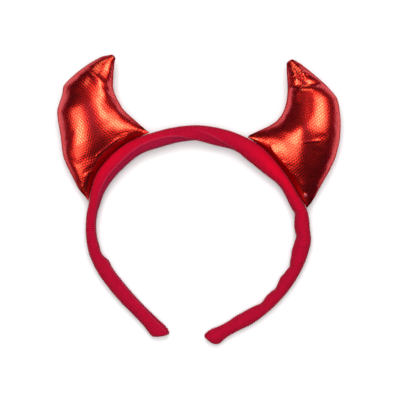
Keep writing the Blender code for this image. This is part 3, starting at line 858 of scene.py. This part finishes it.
def makeFoil(name, rowsRun, weave):
    material, tree, shader = newMaterial(name)
    shader.inputs["Specular Tint"].default_value = foilLook["edgeTint"]
    shader.inputs["Coat IOR"].default_value = foilLook["lacquerIor"]
    shader.inputs["Coat Roughness"].default_value = foilLook["lacquerRoughness"]
    uv = addNode(tree, "ShaderNodeUVMap", "cloth in millimetres", uv_map="cloth")
    rows = addNode(tree, "ShaderNodeGroup", "foil cloth", node_tree=weave)
    rows.inputs["Row Pitch"].default_value = foilLook["rowPitch"]
    rows.inputs["Stitch Pitch"].default_value = foilLook["stitchPitch"]
    rows.inputs["Turn"].default_value = math.radians(90 - rowsRun)
    rows.inputs["Unevenness"].default_value = foilLook["unevenness"]
    link(tree, uv.outputs["UV"], rows.inputs["Cloth"])
    wear = addNode(tree, "ShaderNodeTexNoise", "rubbed foil")
    wear.inputs["Scale"].default_value = foilLook["wearScale"]
    wear.inputs["Detail"].default_value = foilLook["wearDetail"]
    link(tree, uv.outputs["UV"], wear.inputs["Vector"])
    gap = rows.outputs["Gap"]
    # the gaps between the yarns are darker and bare of lacquer; part of that darkness is painted
    # shade in the gaps
    depth = mathNode(tree, "MULTIPLY", gap, foilLook["gapDepth"], "colour in the gaps", True)
    colour = mixColours(tree, "foil and gaps", depth, foilLook["ridge"], foilLook["gap"])
    # darker towards the seam: a darker stitched edge with painted shade along it
    away = addNode(tree, "ShaderNodeAttribute", "from the seam", attribute_name="seamAway")
    rimFade = -foilLook["rimFade"]
    nearSeam = mathNode(tree, "MULTIPLY_ADD", away.outputs["Fac"], rimFade, "rim and seam", True)
    nearSeam.node.inputs[2].default_value = foilLook["rimStart"]
    colour = mixColours(tree, "dark in the seam", nearSeam, colour, foilLook["seam"])
    # painted dark-red reflection of the sleeve on the smooth strip of foil beside it; the strip is
    # also duller and bare of lacquer
    hemAndSleeveReflection = addNode(tree, "ShaderNodeAttribute", "hemAndSleeveReflection", attribute_name="hemAndSleeveReflection").outputs["Fac"]
    colour = mixColours(tree, "smooth dark hem", hemAndSleeveReflection, colour, foilLook["hemAndSleeveReflection"])
    dab = addNode(tree, "ShaderNodeAttribute", "glue dab", attribute_name="glueDab").outputs["Fac"]
    dab = mathNode(tree, "MULTIPLY", dab, foilLook["dabSpread"], "whole dab", True)
    colour = mixColours(tree, "dab of glue", dab, colour, foilLook["glue"])
    metal = mathNode(tree, "SUBTRACT", 1.0, dab, "metal beside the dab")
    link(tree, metal, shader.inputs["Metallic"])
    link(tree, colour, shader.inputs["Base Color"])
    bare = mathNode(tree, "MAXIMUM", depth, hemAndSleeveReflection, "bare of lacquer")
    lacquer = mathNode(tree, "SUBTRACT", 1.0, bare, "lacquer on the ridges", True)
    rimLacquer = -foilLook["rimLacquerLost"]
    awayFromRim = mathNode(tree, "MULTIPLY_ADD", nearSeam, rimLacquer, "less of it at the rim", True)
    awayFromRim.node.inputs[2].default_value = 1.0
    link(tree, mathNode(tree, "MULTIPLY", lacquer, awayFromRim), shader.inputs["Coat Weight"])
    rubbed = mathNode(tree, "MULTIPLY_ADD", wear.outputs["Fac"], foilLook["rubbed"], "rubbed")
    rubbed.node.inputs[2].default_value = foilLook["roughness"] - foilLook["rubbed"] / 2
    rough = mathNode(tree, "MULTIPLY_ADD", gap, foilLook["gapRoughness"], "rough in the gaps")
    link(tree, rubbed, rough.node.inputs[2])
    dull = mathNode(tree, "MULTIPLY_ADD", hemAndSleeveReflection, foilLook["hemDuller"], "duller hem")
    link(tree, rough, dull.node.inputs[2])
    link(tree, dull, shader.inputs["Roughness"])
    bump = addNode(tree, "ShaderNodeBump", "rows")
    bump.inputs["Strength"].default_value = 1.0
    bump.inputs["Distance"].default_value = foilLook["relief"]
    link(tree, rows.outputs["Height"], bump.inputs["Height"])
    link(tree, bump.outputs["Normal"], shader.inputs["Normal"])
    return material


knitLook = {
    # ridges and valleys of the ribs: the darker valley colour is painted shade
    "ridge": (0.41, 0.0025, 0.026, 1),
    "valley": (0.19, 0.001, 0.013, 1),
    "bright": (0.55, 0.0001, 0.014, 1),     # painted red glow reflected from the horns onto the sleeve beside them
    "deep": (0.26, 0.0070, 0.038, 1),       # painted shade under the lap
    "glint": (0.56, 0.050, 0.110, 1),       # painted highlight on the lap's rolled edge
    "roughness": 0.85,
    "sheen": 0.05,
    "sheenColour": (1.0, 0.45, 0.60, 1),
    "sheenRoughness": 0.35,
    "gloss": 0.05,
    "yarnPitch": 0.63,
    "stitchPitch": 0.55,
    "unevenness": 0.25,
    "patchScale": 0.25,
    "patchDetail": 4.0,
    "ribShare": 0.62,               # weight of the ribs in the ridge and valley colours, whose darker valleys are painted shade; uneven dye patches add the rest
    "patchShare": 0.5,
    "brightShare": 0.70,
    "deepShare": 0.60,
    "glintShare": 0.35,
    "relief": 0.09 * millimetre,
}


def makeKnit(name, weave):
    material, tree, shader = newMaterial(name)
    shader.inputs["Roughness"].default_value = knitLook["roughness"]
    shader.inputs["Sheen Weight"].default_value = knitLook["sheen"]
    shader.inputs["Sheen Roughness"].default_value = knitLook["sheenRoughness"]
    shader.inputs["Sheen Tint"].default_value = knitLook["sheenColour"]
    shader.inputs["Specular IOR Level"].default_value = knitLook["gloss"]
    uv = addNode(tree, "ShaderNodeUVMap", "cloth in millimetres", uv_map="cloth")
    rows = addNode(tree, "ShaderNodeGroup", "fine knit", node_tree=weave)
    rows.inputs["Row Pitch"].default_value = knitLook["yarnPitch"]
    rows.inputs["Stitch Pitch"].default_value = knitLook["stitchPitch"]
    rows.inputs["Unevenness"].default_value = knitLook["unevenness"]
    link(tree, uv.outputs["UV"], rows.inputs["Cloth"])
    split = addNode(tree, "ShaderNodeSeparateXYZ", "along the band")
    link(tree, uv.outputs["UV"], split.inputs[0])
    ribTurn = 2 * math.pi * millimetre / sleeve["ribPitch"]
    phase = mathNode(tree, "MULTIPLY", split.outputs["X"], ribTurn, "rib phase")
    rib = mathNode(tree, "MULTIPLY_ADD", mathNode(tree, "COSINE", phase), 0.5, "rib")
    rib.node.inputs[2].default_value = 0.5
    patchy = addNode(tree, "ShaderNodeTexNoise", "uneven dye")
    patchy.inputs["Scale"].default_value = knitLook["patchScale"]
    patchy.inputs["Detail"].default_value = knitLook["patchDetail"]
    link(tree, uv.outputs["UV"], patchy.inputs["Vector"])
    patches = mathNode(tree, "MULTIPLY", patchy.outputs["Fac"], knitLook["patchShare"], "patches")
    # painted shade in the rib valleys, over uneven dye
    mixed = mathNode(tree, "MULTIPLY_ADD", rib, knitLook["ribShare"], "rib tops")
    link(tree, patches, mixed.node.inputs[2])
    colour = mixColours(tree, "ridges and valleys", mixed, knitLook["valley"], knitLook["ridge"])
    # tone: painted red glow reflected from the horns, less painted shade under the laps
    dye = addNode(tree, "ShaderNodeAttribute", "painted glow and shade", attribute_name="tone")
    tone = dye.outputs["Fac"]
    # painted red glow from the horns
    glowFromHorns = mathNode(tree, "MULTIPLY", tone, knitLook["brightShare"], "glowFromHorns", True)
    colour = mixColours(tree, "beside the horns", glowFromHorns, colour, knitLook["bright"])
    # painted shade on the cloth under the laps
    shaded = mathNode(tree, "MULTIPLY", tone, -knitLook["deepShare"], "tucked under", True)
    colour = mixColours(tree, "under the lap", shaded, colour, knitLook["deep"])
    # painted highlight on the lap's rolled edge
    glinting = addNode(tree, "ShaderNodeAttribute", "edge of the lap", attribute_name="lapGlint")
    glint = mathNode(tree, "MULTIPLY", glinting.outputs["Fac"], knitLook["glintShare"], "glinting", True)
    colour = mixColours(tree, "worn edge of the lap", glint, colour, knitLook["glint"])
    link(tree, colour, shader.inputs["Base Color"])
    bump = addNode(tree, "ShaderNodeBump", "knit")
    bump.inputs["Strength"].default_value = 1.0
    bump.inputs["Distance"].default_value = knitLook["relief"]
    link(tree, rows.outputs["Height"], bump.inputs["Height"])
    link(tree, bump.outputs["Normal"], shader.inputs["Normal"])
    return material


print("headband: weave group")
weaveGroup = makeWeaveGroup()
print("headband: rolling the ribbed sleeve")
sleevePiece = makeSleeve()
sleevePiece.data.materials.append(makeKnit("redRibKnit", weaveGroup))
finishPiece(sleevePiece, "knit_sleeve", "headband")
for horn in (leftHorn, rightHorn):
    print("headband: stuffing", horn["name"])
    hornPiece = makeHorn(horn)
    hornPiece.data.materials.append(makeFoil(horn["name"] + "_foil", horn["rowsRun"], weaveGroup))
    finishPiece(hornPiece, "foil_cloth", horn["node"])


# the table, the studio and the camera straight above

studio = {
    "tableTone": (0.76, 0.76, 0.765, 1),
    "tableReach": 2.0,
    "tableRoughness": 0.7,
    "tableGloss": 0.2,
    "grainScale": 900.0,
    "grainStrength": 0.05,
    "grainDepth": 0.2 * millimetre,
    "roomTone": 0.035,
    "roomTint": (1.0, 0.85, 1.15, 1),
    "warm": (1.0, 0.97, 0.40),
    "cool": (1.0, 0.85, 1.15),
    "plain": (1.0, 1.0, 1.0),
    "softboxes": [
        # name, lights the foil or the cloth, tint, azimuth, angle from straight up, distance,
        # width, height, brightness
        ("left gleam", "foil", "warm", 203, 35, 1.20, 0.36, 0.40, 9.0),
        ("left glow", "foil", "warm", 203, 35, 1.25, 0.74, 0.76, 2.9),
        ("right gleam", "foil", "warm", 25, 35, 1.20, 0.40, 0.40, 9.0),
        ("right glow", "foil", "warm", 25, 35, 1.25, 0.80, 0.78, 2.9),
        ("far gleam", "foil", "warm", 90, 47, 1.4, 0.72, 0.55, 3.0),
        ("top gleam", "foil", "cool", 90, 0, 2.0, 1.10, 1.10, 0.24),
        ("key", "cloth", "plain", 95, 34, 1.5, 0.80, 0.80, 5.2),
        ("fill", "cloth", "plain", 0, 0, 1.6, 1.80, 1.80, 4.2),
    ],
    "cameraHeight": 1.1,
    "aimHeight": 0.011,
    "aim": (0.00055, 0.00016),
    "frameWidth": 0.248,
    "sensorWidth": 36.0,
    "clipStart": 0.01,
}


def makeTable():
    shape = bmesh.new()
    bmesh.ops.create_grid(shape, x_segments=2, y_segments=2, size=studio["tableReach"])
    mesh = bpy.data.meshes.new("table")
    shape.to_mesh(mesh)
    shape.free()
    table = bpy.data.objects.new("table", mesh)
    bpy.context.scene.collection.objects.link(table)
    material, tree, shader = newMaterial("tablePaint")
    shader.inputs["Base Color"].default_value = studio["tableTone"]
    shader.inputs["Roughness"].default_value = studio["tableRoughness"]
    shader.inputs["Specular IOR Level"].default_value = studio["tableGloss"]
    place = addNode(tree, "ShaderNodeTexCoord", "place")
    grain = addNode(tree, "ShaderNodeTexNoise", "paper grain")
    grain.inputs["Scale"].default_value = studio["grainScale"]
    link(tree, place.outputs["Object"], grain.inputs["Vector"])
    bump = addNode(tree, "ShaderNodeBump", "grain")
    bump.inputs["Strength"].default_value = studio["grainStrength"]
    bump.inputs["Distance"].default_value = studio["grainDepth"]
    link(tree, grain.outputs["Fac"], bump.inputs["Height"])
    link(tree, bump.outputs["Normal"], shader.inputs["Normal"])
    mesh.materials.append(material)


def addSoftbox(name, lights, tint, azimuth, fromUp, distance, width, height, brightness):
    lamp = bpy.data.lights.new(name, "AREA")
    lamp.shape = "RECTANGLE"
    lamp.size = width
    lamp.size_y = height
    lamp.energy = math.pi * width * height * brightness
    lamp.color = studio[tint]
    holder = bpy.data.objects.new(name, lamp)
    bearing, down = math.radians(azimuth), math.radians(fromUp)
    level = math.sin(down)
    way = Vector((level * math.cos(bearing), level * math.sin(bearing), math.cos(down)))
    holder.location = way * distance
    holder.rotation_euler = way.to_track_quat("Z", "Y").to_euler()
    holder.visible_diffuse = lights == "cloth"
    holder.visible_glossy = lights == "foil"
    bpy.context.scene.collection.objects.link(holder)


print("headband: table, light and camera")
makeTable()
for softbox in studio["softboxes"]:
    addSoftbox(*softbox)
world = bpy.data.worlds.new("studio")
world.use_nodes = True
world.node_tree.nodes["Background"].inputs["Color"].default_value = studio["roomTint"]
world.node_tree.nodes["Background"].inputs["Strength"].default_value = studio["roomTone"]
bpy.context.scene.world = world
bpy.context.scene.view_settings.view_transform = "Standard"

camera = bpy.data.cameras.new("overhead")
camera.sensor_width = studio["sensorWidth"]
aimDistance = studio["cameraHeight"] - studio["aimHeight"]
camera.lens = camera.sensor_width * aimDistance / studio["frameWidth"]
camera.clip_start = studio["clipStart"]
eye = bpy.data.objects.new("overhead", camera)
eye.location = (*studio["aim"], studio["cameraHeight"])
bpy.context.scene.collection.objects.link(eye)
bpy.context.scene.camera = eye
